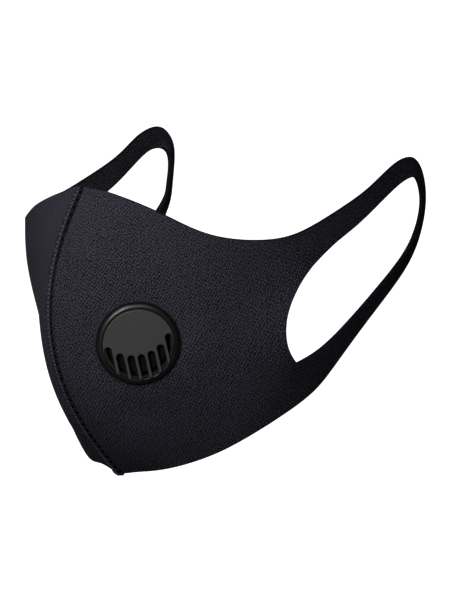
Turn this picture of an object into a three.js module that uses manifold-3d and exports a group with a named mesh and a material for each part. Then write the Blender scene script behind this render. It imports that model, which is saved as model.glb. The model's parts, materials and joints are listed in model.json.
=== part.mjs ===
// Neoprene face mask with ear loops and an exhalation valve, shown in its worn form.
//
// Millimetres, +Z up. The origin is where the mask rests on the bridge of the nose:
// -Y is the way the wearer looks, +X is the wearer's left, and the seam lies in x = 0.
//
// Each half of the mask is one die-cut cloth panel with its ear loop. A panel's middle
// surface is worked out in three steps: a coarse cage of quads laid through the tables
// below, Catmull-Clark subdivision, and a wall of even thickness on both sides of it.

import * as THREE from 'three';
import { mergeVertices } from 'three/addons/utils/BufferGeometryUtils.js';
import Module from 'manifold-3d';

// ---------------------------------------------------------------- driving dimensions

const CLOTH = 1.8;              // thickness of the cloth
const GAP = 0.3;                // clearance between pieces that touch
const SEAM_WIDTH = 2.6;         // the seam bar, across x
const SEAM_PROUD = 1.2;         // how far the bar stands out of the cloth
const SEAM_TAB = 1.6;           // how far it runs on past the chin
const SUBDIVISIONS = 2;

const VALVE = {
  centre: [27.3, 3.5, -62.6],   // on the cloth's middle surface
  facing: 45,                   // azimuth of its axis, from the front towards its own side
  lift: -5,                     // and how far that axis points up, in degrees
  turn: 12.5,                   // its slots lean this far from upright
  flatRadius: 18,               // the cloth lies flat under the ring,
  blendRadius: 31,              // and takes up its own curve again out here
  ringRadius: 17.5,
  ringHeight: 3.2,
  discRadius: 14.9,
  discHeight: 4.8,
  plate: 1.5,                   // thickness of the disc's front
  cavityRadius: 13.5,
  holeRadius: 13.1,             // the hole in the cloth
  barrelRadius: 12.8,
  flangeRadius: 16.5,
  wall: 1.4,
};
const SLOTS = {
  perSide: 3,                   // and one in the middle
  pitch: 4.3,
  width: 2.95,
  reach: 15.2,                  // they run out through the disc's edge, to this radius
  arcRadius: 16.7,              // their tops lie on an arc
  lowest: -4.2,                 // whose lowest point is this far from the centre
};

// Sections of the face, from the centre seam to the front edge of the ear opening.
// Each is a bowed line from the top edge to the bottom edge: bulge is how far its
// middle stands out, facing is the azimuth that it bulges towards, and skew moves the
// fullest place up. x is measured away from the seam on either side.
const FACE = [
  { name: 'seam',  top: [0, 0, 0],          bottom: [0, 23.8, -123.6],   bulge: 30,   facing: 0,  skew: 0.17 },
  { name: 'nose',  top: [12, 0.4, -0.6],    bottom: [10, 24, -121.8],    bulge: 24.5, facing: 3,  skew: -0.05 },
  { name: 'valve', top: [26, 3.4, -4.2],    bottom: [20.5, 29.4, -120.2], bulge: 14.8, facing: 15, skew: -0.25 },
  { name: 'cheek', top: [40, 10, -10.4],    bottom: [35, 37.6, -115],    bulge: 7.8,  facing: 29, skew: -0.3 },
  { name: 'jaw',   top: [53, 23.6, -18.2],  bottom: [48.5, 48.4, -106.4], bulge: 4.8,  facing: 62, skew: 0.1 },
];

// The front edge of the ear opening, and the cloth above and below it.
const OPENING_FRONT = [
  { name: 'top',    at: [65, 46, -20.8] },
  { name: 'high',   at: [69.5, 61, -38] },
  { name: 'upper',  at: [69.4, 51, -51] },
  { name: 'lower',  at: [68.6, 51, -65] },
  { name: 'low',    at: [67.5, 58.5, -74.2] },
  { name: 'bottom', at: [60.5, 69, -92.8] },
];

// The ear loop, as a ribbon from the top of the opening round the ear to the bottom.
// centre is its middle line, width its width, facing the azimuth of its outer face and
// tilt how far that face looks up.
const LOOP = [
  { name: 'root',       centre: [69, 66.9, -24.9],   width: 15.4, facing: 88,  tilt: 0 },
  { name: 'temple',     centre: [70, 78, -19.9],     width: 12.6, facing: 90,  tilt: 0 },
  { name: 'rising',     centre: [70.5, 91.3, -14.7], width: 11.2, facing: 90,  tilt: 0 },
  { name: 'over ear',   centre: [71, 106, -7.8],     width: 9.6,  facing: 90,  tilt: 0 },
  { name: 'before tip', centre: [72, 119.6, -0.2],   width: 9.6,  facing: 92,  tilt: 0 },
  { name: 'tip',        centre: [72, 129.8, 1.9],    width: 8.8,  facing: 100, tilt: 10 },
  { name: 'behind tip', centre: [71.5, 135.8, -2.2], width: 8.6,   facing: 115, tilt: 8 },
  { name: 'back',       centre: [71.5, 138.5, -12],  width: 8.8,  facing: 119, tilt: 0 },
  { name: 'lower back', centre: [71.2, 136.4, -24],  width: 8.8,  facing: 120, tilt: 0 },
  { name: 'behind ear', centre: [71, 127.7, -37],    width: 8.4,   facing: 115, tilt: -5 },
  { name: 'lobe',       centre: [70.5, 110.9, -50.3], width: 9.6, facing: 102, tilt: -15 },
  { name: 'under ear',  centre: [69, 94, -63.2],     width: 12,  facing: 95,  tilt: -20 },
  { name: 'jaw root',   centre: [67, 77.8, -75.4],   width: 16.6, facing: 90,  tilt: -20 },
];

// The right panel's rows that differ: its cheek lies lower and flatter, and its loop sits
// higher and turns less at the back.
const RIGHT_CHANGES = {
  nose: { top: [12, 0.4, -3.4], bottom: [10, 23.4, -122], bulge: 23.8, skew: 0.17 },
  valve: { top: [26, 3.8, -8.6], bottom: [20.8, 28.8, -120.8], bulge: 10.6, skew: 0.4 },
  cheek: { top: [40, 12.4, -14.5], bottom: [35.2, 37.2, -115.2], bulge: 4.6, skew: 0.5 },
  jaw: { top: [50.6, 22.6, -19], bottom: [48.6, 48, -106.2], bulge: 3.4, skew: 0.7 },
  top: { at: [63, 50, -15.2] },
  high: { at: [69, 62, -34] },
  root: { centre: [68.5, 67.5, -20.7] },
  temple: { centre: [69.5, 80, -16] },
  rising: { centre: [70.2, 95.3, -10.4] },
  'over ear': { centre: [71, 109.1, -4] },
  'before tip': { centre: [71.5, 121, 2.3], facing: 88 },
  tip: { centre: [71.2, 130.8, 4], width: 9.8, facing: 80, tilt: 5 },
  'behind tip': { centre: [70.2, 137, -0.5], facing: 64, tilt: 4 },
  back: { centre: [69.8, 138, -9], facing: 58 },
  'lower back': { centre: [69.8, 136.6, -18.5], facing: 58 },
  'behind ear': { centre: [69.8, 131.8, -28.6], facing: 64, tilt: 0 },
  lobe: { centre: [70.5, 113.5, -47.5], facing: 90, tilt: -10 },
};

// ---------------------------------------------------------------- small vector helpers

const rad = THREE.MathUtils.degToRad;
const vec = (p) => new THREE.Vector3(...p);
const direction = (azimuth, lift = 0) => new THREE.Vector3(
  Math.sin(rad(azimuth)) * Math.cos(rad(lift)),
  -Math.cos(rad(azimuth)) * Math.cos(rad(lift)),
  Math.sin(rad(lift)),
);
const mean = (points) => points
  .reduce((sum, p) => sum.add(p), new THREE.Vector3())
  .divideScalar(points.length);

// ---------------------------------------------------------------- the cage of a panel

const ROWS = [0, 0.2, 0.42, 0.64, 0.84, 1];

function bowedSection({ top, bottom, bulge, facing, skew }) {
  const start = vec(top);
  const chord = vec(bottom).sub(start);
  const out = direction(facing);
  out.addScaledVector(chord, -out.dot(chord) / chord.lengthSq()).normalize();
  return ROWS.map((t) => start.clone()
    .addScaledVector(chord, t)
    .addScaledVector(out, bulge * 4 * t * (1 - t) * (1 + skew * (1 - 2 * t))));
}

// Outer and inner edge of the ribbon at each row of the loop.
function loopEdges(rows, before, after) {
  const centres = [before, ...rows.map((row) => vec(row.centre)), after];
  return rows.map((row, i) => {
    const along = centres[i + 2].clone().sub(centres[i]).normalize();
    const across = direction(row.facing, row.tilt).cross(along).normalize();
    return {
      outer: centres[i + 1].clone().addScaledVector(across, row.width / 2),
      inner: centres[i + 1].clone().addScaledVector(across, -row.width / 2),
    };
  });
}

const changed = (rows, changes) => rows.map((row) => ({ ...row, ...changes[row.name] }));

function panelCage(changes = {}) {
  const points = [];
  const quads = [];
  const add = (p) => points.push(p) - 1;
  const face = changed(FACE, changes).map((row) => bowedSection(row).map(add));
  face.push(changed(OPENING_FRONT, changes).map((row) => add(vec(row.at))));
  for (let i = 0; i + 1 < face.length; i += 1) {
    for (let j = 0; j + 1 < ROWS.length; j += 1) {
      quads.push([face[i][j], face[i][j + 1], face[i + 1][j + 1], face[i + 1][j]]);
    }
  }
  const [top, high, , , low, bottom] = face.at(-1);
  const before = mean([points[top], points[high]]);
  const after = mean([points[bottom], points[low]]);
  const ribbon = [[top, high]];
  for (const { outer, inner } of loopEdges(changed(LOOP, changes), before, after)) {
    ribbon.push([add(outer), add(inner)]);
  }
  ribbon.push([bottom, low]);
  for (let i = 0; i + 1 < ribbon.length; i += 1) {
    quads.push([ribbon[i][0], ribbon[i][1], ribbon[i + 1][1], ribbon[i + 1][0]]);
  }
  return { points, quads, corners: new Set([low]), seam: face[0] };
}

// ---------------------------------------------------------------- subdivision

// One Catmull-Clark step. Open edges follow a cubic B-spline, and corners stay sharp.
function subdivide({ points, quads, corners }) {
  const edges = new Map();
  const around = points.map(() => ({ faces: [], edges: [], rim: [] }));
  quads.forEach((quad, face) => quad.forEach((a, i) => {
    const b = quad[(i + 1) % 4];
    const key = Math.min(a, b) * points.length + Math.max(a, b);
    if (!edges.has(key)) edges.set(key, { key, ends: [a, b], faces: [] });
    edges.get(key).faces.push(face);
    around[a].faces.push(face);
  }));
  const faceCentres = quads.map((quad) => mean(quad.map((i) => points[i])));
  const result = points.map((p) => p.clone());
  const edgeIndex = new Map();
  for (const { key, ends, faces } of edges.values()) {
    const middle = mean(ends.map((i) => points[i]));
    for (const i of ends) {
      around[i].edges.push(middle);
      if (faces.length === 1) around[i].rim.push(middle);
    }
    const place = faces.length === 1
      ? middle
      : mean([...ends.map((i) => points[i]), ...faces.map((f) => faceCentres[f])]);
    edgeIndex.set(key, result.push(place) - 1);
  }
  points.forEach((p, i) => {
    const { faces, edges: middles, rim } = around[i];
    const n = faces.length;
    if (corners.has(i) || (rim.length > 0 && n === 1)) return;
    if (rim.length > 0) {
      result[i] = mean([p, p, ...rim]);
    } else {
      result[i] = mean(faces.map((f) => faceCentres[f]))
        .addScaledVector(mean(middles), 2)
        .addScaledVector(p, n - 3)
        .divideScalar(n);
    }
  });
  const centreIndex = faceCentres.map((p) => result.push(p) - 1);
  const smaller = [];
  quads.forEach((quad, face) => quad.forEach((a, i) => {
    const next = quad[(i + 1) % 4];
    const previous = quad[(i + 3) % 4];
    const edge = (b) => edgeIndex.get(Math.min(a, b) * points.length + Math.max(a, b));
    smaller.push([a, edge(next), centreIndex[face], edge(previous)]);
  }));
  return { points: result, quads: smaller, corners };
}

function smooth(cage) {
  let surface = cage;
  for (let i = 0; i < SUBDIVISIONS; i += 1) surface = subdivide(surface);
  return surface;
}

// Moves the cage until the smooth surface passes through the tables' own points.
function fitCage(cage) {
  const points = cage.points.map((p) => p.clone());
  for (let pass = 0; pass < 6; pass += 1) {
    const surface = smooth({ ...cage, points });
    points.forEach((p, i) => p.add(cage.points[i]).sub(surface.points[i]));
  }
  return { ...cage, points };
}


// ---------------------------------------------------------------- the cloth panels

const SEAM_ROOM = SEAM_WIDTH / 2 + GAP;   // where a panel's edge lies beside the seam
const NOSE_X = FACE[1].top[0];            // the cloth gives way to the seam within this

const smoothstep = (from, to, value) => THREE.MathUtils.smoothstep(value, from, to);

// The valve's own axes: z out of the cloth, y up its slots.
function valveFrame() {
  const out = direction(VALVE.facing, VALVE.lift);
  const side = new THREE.Vector3(0, 0, 1).cross(out).normalize();
  const up = out.clone().cross(side).applyAxisAngle(out, rad(VALVE.turn));
  return new THREE.Matrix4()
    .makeBasis(up.clone().cross(out), up, out)
    .setPosition(vec(VALVE.centre));
}

function makeRoomForSeam(p) {
  if (p.x < NOSE_X) p.setX(SEAM_ROOM + p.x * (NOSE_X - SEAM_ROOM) / NOSE_X);
}

function flattenUnderValve(p) {
  const centre = vec(VALVE.centre);
  const axis = direction(VALVE.facing, VALVE.lift);
  const offset = p.clone().sub(centre);
  const height = offset.dot(axis);
  const distance = offset.addScaledVector(axis, -height).length();
  const weight = 1 - smoothstep(VALVE.flatRadius, VALVE.blendRadius, distance);
  p.addScaledVector(axis, -height * weight);
}

function surfaceNormals({ points, quads }) {
  const normals = points.map(() => new THREE.Vector3());
  for (const [a, b, c, d] of quads) {
    const first = points[c].clone().sub(points[a]);
    const second = points[d].clone().sub(points[b]);
    const normal = first.cross(second);
    for (const i of [a, b, c, d]) normals[i].add(normal);
  }
  return normals.map((normal) => normal.normalize());
}

// Closes a surface into a wall of the cloth's thickness. Along the seam the wall ends
// square to x, so that it meets the seam bar face to face.
function wall(surface, onSeam) {
  const { points, quads } = surface;
  const count = points.length;
  const half = surfaceNormals(surface).map((normal, i) => {
    if (onSeam.has(i)) normal.setX(0).divideScalar(normal.lengthSq());
    return normal.multiplyScalar(CLOTH / 2);
  });
  const outer = points.map((p, i) => p.clone().add(half[i]));
  const inner = points.map((p, i) => p.clone().sub(half[i]));
  const faces = [];
  const open = new Map();
  for (const quad of quads) {
    faces.push(quad, quad.map((i) => i + count).reverse());
    quad.forEach((a, i) => {
      const b = quad[(i + 1) % 4];
      if (!open.delete(`${b} ${a}`)) open.set(`${a} ${b}`, [a, b]);
    });
  }
  for (const [a, b] of open.values()) faces.push([b, a, a + count, b + count]);
  return { points: [...outer, ...inner], faces };
}

function toGeometry({ points, faces }, mirrored = false) {
  const index = [];
  for (const face of faces) {
    const [a, b, c, d] = face;
    const turned = face.length === 4
      && points[a].distanceTo(points[c]) > points[b].distanceTo(points[d]);
    const fan = turned ? [b, c, d, a] : face;
    for (let i = 1; i + 1 < fan.length; i += 1) {
      index.push(fan[0], ...(mirrored ? [fan[i + 1], fan[i]] : [fan[i], fan[i + 1]]));
    }
  }
  const geometry = new THREE.BufferGeometry();
  const sign = mirrored ? -1 : 1;
  const flat = points.flatMap((p) => [sign * p.x, p.y, p.z]);
  geometry.setAttribute('position', new THREE.Float32BufferAttribute(flat, 3));
  geometry.setIndex(index);
  return geometry;
}

function panelGeometry({ changes = {}, mirrored = false, valve = false }) {
  const surface = smooth(fitCage(panelCage(changes)));
  const onSeam = new Set();
  surface.points.forEach((p, i) => {
    if (p.x < 1e-6) onSeam.add(i);
    makeRoomForSeam(p);
    if (valve) flattenUnderValve(p);
  });
  return toGeometry(wall(surface, onSeam), mirrored);
}

// ---------------------------------------------------------------- joining and cutting

const manifold = await Module();
manifold.setup();

function toSolid(geometry) {
  const bare = geometry.clone();
  bare.deleteAttribute('normal');
  bare.deleteAttribute('uv');
  const merged = mergeVertices(bare, 1e-4);
  return new manifold.Manifold(new manifold.Mesh({
    numProp: 3,
    vertProperties: new Float32Array(merged.attributes.position.array),
    triVerts: new Uint32Array(merged.index.array),
  }));
}

function fromSolid(solid) {
  const { vertProperties, triVerts } = solid.getMesh();
  const geometry = new THREE.BufferGeometry();
  geometry.setAttribute('position', new THREE.Float32BufferAttribute(vertProperties, 3));
  geometry.setIndex([...triVerts]);
  return geometry;
}

// ---------------------------------------------------------------- the centre seam

// A bar swept down the seam, rounded on its outer side, that ends in a short tab.
function seamGeometry() {
  const [seam] = FACE;
  const steps = 44;
  const start = vec(seam.top);
  const chord = vec(seam.bottom).sub(start);
  const out = new THREE.Vector3(0, chord.z, -chord.y).normalize();
  const at = (t) => start.clone()
    .addScaledVector(chord, t)
    .addScaledVector(out, seam.bulge * 4 * t * (1 - t) * (1 + seam.skew * (1 - 2 * t)));
  const half = SEAM_WIDTH / 2;
  const top = CLOTH / 2 + SEAM_PROUD;
  const section = [
    [-half, -CLOTH / 2], [-half, top - half], [-half * 0.7, top - half * 0.3], [0, top],
    [half * 0.7, top - half * 0.3], [half, top - half], [half, -CLOTH / 2],
  ];
  const tabShare = SEAM_TAB / chord.length();
  const points = [];
  const faces = [];
  for (let i = 0; i <= steps; i += 1) {
    const t = (i / steps) * (1 + tabShare);
    const ahead = at(t + 0.001).sub(at(t - 0.001)).normalize();
    const outward = new THREE.Vector3(0, ahead.z, -ahead.y);
    const fromEnd = Math.min(i, steps - i);
    const size = [0.55, 0.85][fromEnd] ?? 1;
    for (const [x, n] of section) {
      points.push(at(t).addScaledVector(outward, n * size).setX(x * size));
    }
  }
  const row = section.length;
  for (let i = 0; i < steps; i += 1) {
    for (let j = 0; j < row; j += 1) {
      const a = i * row + j;
      const b = i * row + (j + 1) % row;
      faces.push([a, a + row, b + row, b]);
    }
  }
  const last = points.length - row;
  faces.push(section.map((_, j) => j), section.map((_, j) => last + row - 1 - j));
  return toGeometry({ points, faces });
}

// ---------------------------------------------------------------- the valve

const VALVE_SIDES = 64;
const SEAT = CLOTH / 2 + GAP;             // where the cap sits, above the middle surface

// A profile of [radius, height] turned about the valve's axis.
function turned(profile) {
  const outline = profile.map(([radius, height]) => new THREE.Vector2(radius, height));
  return new THREE.LatheGeometry(outline, VALVE_SIDES).rotateX(Math.PI / 2);
}

function disc(radius, bottom, top) {
  return turned([[0, bottom], [radius, bottom], [radius, top], [0, top]]);
}

function slotCutter() {
  const { perSide, pitch, width, reach, arcRadius, lowest } = SLOTS;
  const half = width / 2;
  const bottom = SEAT + VALVE.discHeight - VALVE.plate - GAP;
  const depth = 2 * VALVE.plate + GAP;
  let slots = null;
  for (let i = -perSide; i <= perSide; i += 1) {
    const x = i * pitch;
    const top = lowest + arcRadius - Math.sqrt(arcRadius ** 2 - x ** 2);
    const shape = new THREE.Shape();
    shape.moveTo(x - half, -reach - 1);
    shape.lineTo(x + half, -reach - 1);
    shape.lineTo(x + half, top - half);
    shape.absarc(x, top - half, half, 0, Math.PI);
    const slot = new THREE.ExtrudeGeometry(shape, {
      depth, bevelEnabled: false, curveSegments: 6,
    }).translate(0, 0, bottom);
    slots = slots ? slots.add(toSolid(slot)) : toSolid(slot);
  }
  return slots.intersect(toSolid(disc(reach, bottom - 1, bottom + depth + 1)));
}

function valveCapGeometry() {
  const { ringRadius, ringHeight, discRadius, discHeight, plate, cavityRadius } = VALVE;
  const ring = SEAT + ringHeight;
  const face = SEAT + discHeight;
  const body = turned([
    [cavityRadius, SEAT],
    [ringRadius - 0.4, SEAT],
    [ringRadius, SEAT + 0.5],
    [ringRadius, ring - 1.1],
    [ringRadius - 0.3, ring - 0.4],
    [ringRadius - 1, ring],
    [ringRadius - 1.7, ring - 0.2],
    [discRadius + 0.4, ring - 0.9],
    [discRadius, ring - 1],
    [discRadius, face - 0.7],
    [discRadius - 0.2, face - 0.2],
    [discRadius - 0.7, face],
    [0, face],
    [0, face - plate],
    [cavityRadius, face - plate],
    [cavityRadius, SEAT],
  ]);
  return fromSolid(toSolid(body).subtract(slotCutter()));
}

// The hidden half: a flange behind the cloth, a barrel through its hole, and a grille of
// two crossed bars in the barrel's mouth.
function valveBaseGeometry() {
  const { flangeRadius, barrelRadius, wall: thick } = VALVE;
  const back = -SEAT - thick;
  const rim = SEAT + GAP;
  const body = toSolid(turned([
    [barrelRadius - thick, back],
    [flangeRadius, back],
    [flangeRadius, -SEAT],
    [barrelRadius, -SEAT],
    [barrelRadius, rim],
    [barrelRadius - thick, rim],
    [barrelRadius - thick, back],
  ]));
  const length = 2 * (barrelRadius - thick / 2);
  const bar = new THREE.BoxGeometry(length, 2 * thick, thick).translate(0, 0, back + thick / 2);
  const crossed = toSolid(bar).add(toSolid(bar.clone().rotateZ(Math.PI / 2)));
  return fromSolid(body.add(crossed));
}

function valveFlapGeometry() {
  const bottom = SEAT + 2 * GAP;
  return disc(VALVE.barrelRadius, bottom, bottom + 0.8);
}

function cutHole(panel) {
  const drill = disc(VALVE.holeRadius, -10, 10).applyMatrix4(valveFrame());
  return fromSolid(toSolid(panel).subtract(toSolid(drill)));
}

// ---------------------------------------------------------------- the assembly

const CLOTH_MATERIAL = new THREE.MeshStandardMaterial({ color: 0x2c2b33, roughness: 0.9 });
const THREAD = new THREE.MeshStandardMaterial({ color: 0x26252c, roughness: 0.95 });
const GLOSSY = new THREE.MeshStandardMaterial({ color: 0x141416, roughness: 0.3 });
const RUBBER = new THREE.MeshStandardMaterial({ color: 0x101012, roughness: 0.6 });

const mask = new THREE.Group();

function addMesh(name, geometry, material, parent = mask) {
  const mesh = new THREE.Mesh(geometry, material);
  mesh.name = name;
  parent.add(mesh);
}

addMesh('left_panel', cutHole(panelGeometry({ valve: true })), CLOTH_MATERIAL);
addMesh('right_panel', panelGeometry({ changes: RIGHT_CHANGES, mirrored: true }), CLOTH_MATERIAL);
addMesh('centre_seam', seamGeometry(), THREAD);

const valve = new THREE.Group();
valve.applyMatrix4(valveFrame());
addMesh('valve_cap', valveCapGeometry(), GLOSSY, valve);
addMesh('valve_base', valveBaseGeometry(), GLOSSY, valve);
addMesh('valve_flap', valveFlapGeometry(), RUBBER, valve);
mask.add(valve);

export default mask;
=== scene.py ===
# %% [markdown]
# # A neoprene face mask, step by step
#
# This notebook dresses a finished CAD model of a face mask. The mask has two cloth panels
# with their ear loops, a stitched seam down the middle and a round plastic valve. The CAD
# model gives every place and size, so each piece here is made in that same frame, in
# metres: -Y is the way the wearer looks, +X is the wearer's left and +Z is up.

# %% Load the frame
import json
import math
import bmesh
import bpy
import numpy as np
from mathutils import Matrix, Vector

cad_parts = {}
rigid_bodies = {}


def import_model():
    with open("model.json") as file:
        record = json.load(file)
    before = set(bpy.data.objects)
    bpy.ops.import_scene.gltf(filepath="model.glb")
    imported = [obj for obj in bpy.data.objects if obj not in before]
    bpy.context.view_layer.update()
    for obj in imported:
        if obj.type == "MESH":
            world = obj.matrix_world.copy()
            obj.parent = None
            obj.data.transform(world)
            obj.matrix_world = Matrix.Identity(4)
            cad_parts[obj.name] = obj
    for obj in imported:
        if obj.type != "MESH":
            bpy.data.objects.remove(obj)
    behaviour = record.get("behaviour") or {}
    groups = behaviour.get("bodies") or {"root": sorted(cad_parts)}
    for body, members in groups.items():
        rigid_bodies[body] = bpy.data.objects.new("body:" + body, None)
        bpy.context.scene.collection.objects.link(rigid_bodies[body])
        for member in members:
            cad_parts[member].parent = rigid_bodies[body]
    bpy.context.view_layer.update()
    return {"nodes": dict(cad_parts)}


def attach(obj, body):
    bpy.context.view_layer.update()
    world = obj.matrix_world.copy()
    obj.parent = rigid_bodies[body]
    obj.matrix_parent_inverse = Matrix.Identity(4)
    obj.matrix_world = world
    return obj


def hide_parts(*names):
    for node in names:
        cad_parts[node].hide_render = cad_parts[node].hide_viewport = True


for obj in list(bpy.data.objects):
    bpy.data.objects.remove(obj)
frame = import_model()
print("nodes:", ", ".join(sorted(frame["nodes"])))

# %% [markdown]
# A few small helpers are used all the way through. Sizes are easiest to read in
# millimetres, colours as sRGB hex codes, and node trees as a list of short lines.

# %% Helpers
MM = 0.001


def linear(code, alpha=1.0):
    """An sRGB hex code such as "#2b2a31" as the linear colour that a shader takes."""
    parts = [int(code[i:i + 2], 16) / 255 for i in (1, 3, 5)]
    return (*[c / 12.92 if c <= 0.04045 else ((c + 0.055) / 1.055) ** 2.4 for c in parts], alpha)


def add(tree, kind, inputs=None, **settings):
    """Adds a node. inputs maps a socket to a value, a socket, or a node for its first output."""
    node = tree.nodes.new(kind)
    for name, value in settings.items():
        setattr(node, name, value)
    for name, value in (inputs or {}).items():
        if isinstance(value, bpy.types.Node):
            value = value.outputs[0]
        if isinstance(value, bpy.types.NodeSocket):
            tree.links.new(value, node.inputs[name])
        else:
            node.inputs[name].default_value = value
    return node


def math_in(tree):
    """Gives a function that adds a Math node to this tree, from numbers, sockets or nodes."""
    def calc(operation, *values, **settings):
        return add(tree, "ShaderNodeMath", dict(enumerate(values)), operation=operation, **settings)
    return calc


def direction(azimuth, lift=0.0):
    """Unit vector that points azimuth degrees from the front towards the wearer's left."""
    turn, rise = math.radians(azimuth), math.radians(lift)
    return Vector((math.sin(turn) * math.cos(rise), -math.cos(turn) * math.cos(rise), math.sin(rise)))


def look_from(obj, aim, azimuth, lift, distance):
    """Puts a camera or a lamp metres away from a point in millimetres, looking at it."""
    middle = Vector(aim) * MM
    obj.location = middle + direction(azimuth, lift) * distance
    obj.rotation_euler = (middle - obj.location).to_track_quat("-Z", "Y").to_euler()


def new_object(name, data):
    obj = bpy.data.objects.new(name, data)
    bpy.context.collection.objects.link(obj)
    return obj


def mesh_object(name, points, faces):
    mesh = bpy.data.meshes.new(name)
    mesh.from_pydata(points, [], faces)
    mesh.shade_smooth()
    return new_object(name, mesh)


def bmesh_object(name, bm):
    mesh = bpy.data.meshes.new(name)
    bm.to_mesh(mesh)
    bm.free()
    return new_object(name, mesh)


def plain_mesh(obj, name):
    """Turns an object with modifiers into a plain mesh object of that name."""
    graph = bpy.context.evaluated_depsgraph_get()
    mesh = bpy.data.meshes.new_from_object(obj.evaluated_get(graph))
    mesh.name = name
    bpy.data.objects.remove(obj)
    return new_object(name, mesh)

# %% [markdown]
# ## Camera
#
# A long lens from two metres away keeps the near and the far ear loop almost the same
# size. The camera stands 40 degrees to the wearer's left of straight ahead, a little above.

# %% Camera
VIEW_AZIMUTH, VIEW_LIFT, VIEW_DISTANCE = 40, 8.5, 2.0

camera_data = bpy.data.cameras.new("camera")
camera_data.lens = 280.8
camera_data.sensor_width = 36
camera_data.clip_end = 20
camera = new_object("camera", camera_data)
look_from(camera, (11.72, 78.26, -55.2), VIEW_AZIMUTH, VIEW_LIFT, VIEW_DISTANCE)
bpy.context.scene.camera = camera
print("camera at", tuple(round(v, 3) for v in camera.location))

# %% [markdown]
# ## The cloth panels
#
# On the real mask each half is die-cut from one flat sheet of thin foam with a knit face
# on both sides, loop and all. Pulled on, the sheet bows out over the nose and the cheek.
# A simulation would lose the die-cut outline, so each panel is a coarse cage of quads laid
# through a few named sections, which Blender's Subdivision Surface then makes smooth.
#
# The tables are in millimetres. A section runs from the top edge to the bottom edge:
# bulge is how far its middle stands out, facing is the azimuth it bulges towards, and
# skew moves the fullest place up. A row of the loop is a place on the ribbon's middle
# line, with its width, the azimuth of its outer face and how far that face looks up.

# %% The pattern's tables
CLOTH = 1.8
FACE = {
    #         top edge            bottom edge            bulge facing skew
    "seam":  ((0, 0, 0),          (0, 23.8, -123.6),     30.0, 0, 0.17),
    "nose":  ((12, 0.4, -0.6),    (10, 24, -121.8),      24.5, 3, -0.05),
    "valve": ((26, 3.4, -4.2),    (20.5, 29.4, -120.2),  14.8, 15, -0.25),
    "cheek": ((40, 10, -10.4),    (35, 37.6, -115),      7.8, 29, -0.3),
    "jaw":   ((53, 23.6, -18.2),  (48.5, 48.4, -106.4),  4.8, 62, 0.1),
}
OPENING_FRONT = {
    "top": (65, 46, -20.8), "high": (69.5, 61, -38), "upper": (69.4, 51, -51),
    "lower": (68.6, 51, -65), "low": (67.5, 58.5, -74.2), "bottom": (60.5, 69, -92.8),
}
LOOP = {
    #              centre line            width facing tilt
    "root":       ((69, 66.9, -24.9),     15.4, 88, 0),
    "temple":     ((70, 78, -19.9),       12.6, 90, 0),
    "rising":     ((70.5, 91.3, -14.7),   11.2, 90, 0),
    "over ear":   ((71, 106, -7.8),       9.6, 90, 0),
    "before tip": ((72, 119.6, -0.2),     9.6, 92, 0),
    "tip":        ((72, 129.8, 1.9),      8.8, 100, 10),
    "behind tip": ((71.5, 135.8, -2.2),   8.6, 115, 8),
    "back":       ((71.5, 138.5, -12),    8.8, 119, 0),
    "lower back": ((71.2, 136.4, -24),    8.8, 120, 0),
    "behind ear": ((71, 127.7, -37),      8.4, 115, -5),
    "lobe":       ((70.5, 110.9, -50.3),  9.6, 102, -15),
    "under ear":  ((69, 94, -63.2),       12, 95, -20),
    "jaw root":   ((67, 77.8, -75.4),     16.6, 90, -20),
}

# %% [markdown]
# The right half is the same pattern, but it hangs a little differently: its cheek lies
# lower and flatter, and its loop sits higher. Only the rows that differ are listed.

# %% The right panel's own rows
RIGHT_FACE = {
    "nose":  ((12, 0.4, -3.4),    (9.6, 23.8, -120.6),   23.0, 3, -0.02),
    "valve": ((26, 3.8, -8.6),    (20.8, 28.8, -120.8),  11.2, 15, 0.05),
    "cheek": ((40, 12.4, -14.5),  (35.2, 37.2, -115.2),  5.2, 29, 0.3),
    "jaw":   ((50.6, 22.6, -19),  (48.6, 48, -106.2),    4.0, 62, 0.5),
}
RIGHT_OPENING = {"top": (63, 50, -15.2), "high": (69, 62, -34)}
RIGHT_LOOP = {
    "root":       ((68.5, 67.5, -20.7),   15.4, 88, 0),
    "temple":     ((69.5, 80, -16),       12.6, 90, 0),
    "rising":     ((70.2, 95.3, -10.4),   11.2, 90, 0),
    "over ear":   ((71, 109.1, -4),       9.6, 90, 0),
    "before tip": ((71.5, 121, 2.3),      9.6, 88, 0),
    "tip":        ((71.2, 130.8, 4),      9.8, 80, 5),
    "behind tip": ((70.2, 137, -0.5),     8.6, 64, 4),
    "back":       ((69.8, 138, -9),       8.8, 58, 0),
    "lower back": ((69.8, 136.6, -18.5),  8.8, 58, 0),
    "behind ear": ((69.8, 131.8, -28.6),  8.4, 64, 0),
    "lobe":       ((70.5, 113.5, -47.5),  9.6, 90, -10),
}
print(len(FACE), "sections and", len(LOOP), "rows of the loop to a side")

# %% [markdown]
# The cage takes six points down each section, then the front edge of the ear opening, and
# carries on as a ribbon from the opening's top round the ear and back to its bottom.

# %% The cage
ROWS = (0, 0.2, 0.42, 0.64, 0.84, 1)


def bow(t, bulge, skew):
    """How far a section stands out at t, which runs from 0 at its top edge to 1."""
    return bulge * 4 * t * (1 - t) * (1 + skew * (1 - 2 * t))


def bowed(top, bottom, bulge, facing, skew):
    """The cage's points down one section."""
    start, chord = Vector(top), Vector(bottom) - Vector(top)
    out = direction(facing)
    out = (out - chord * (out.dot(chord) / chord.length_squared)).normalized()
    return [start + chord * t + out * bow(t, bulge, skew) for t in ROWS]


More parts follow.
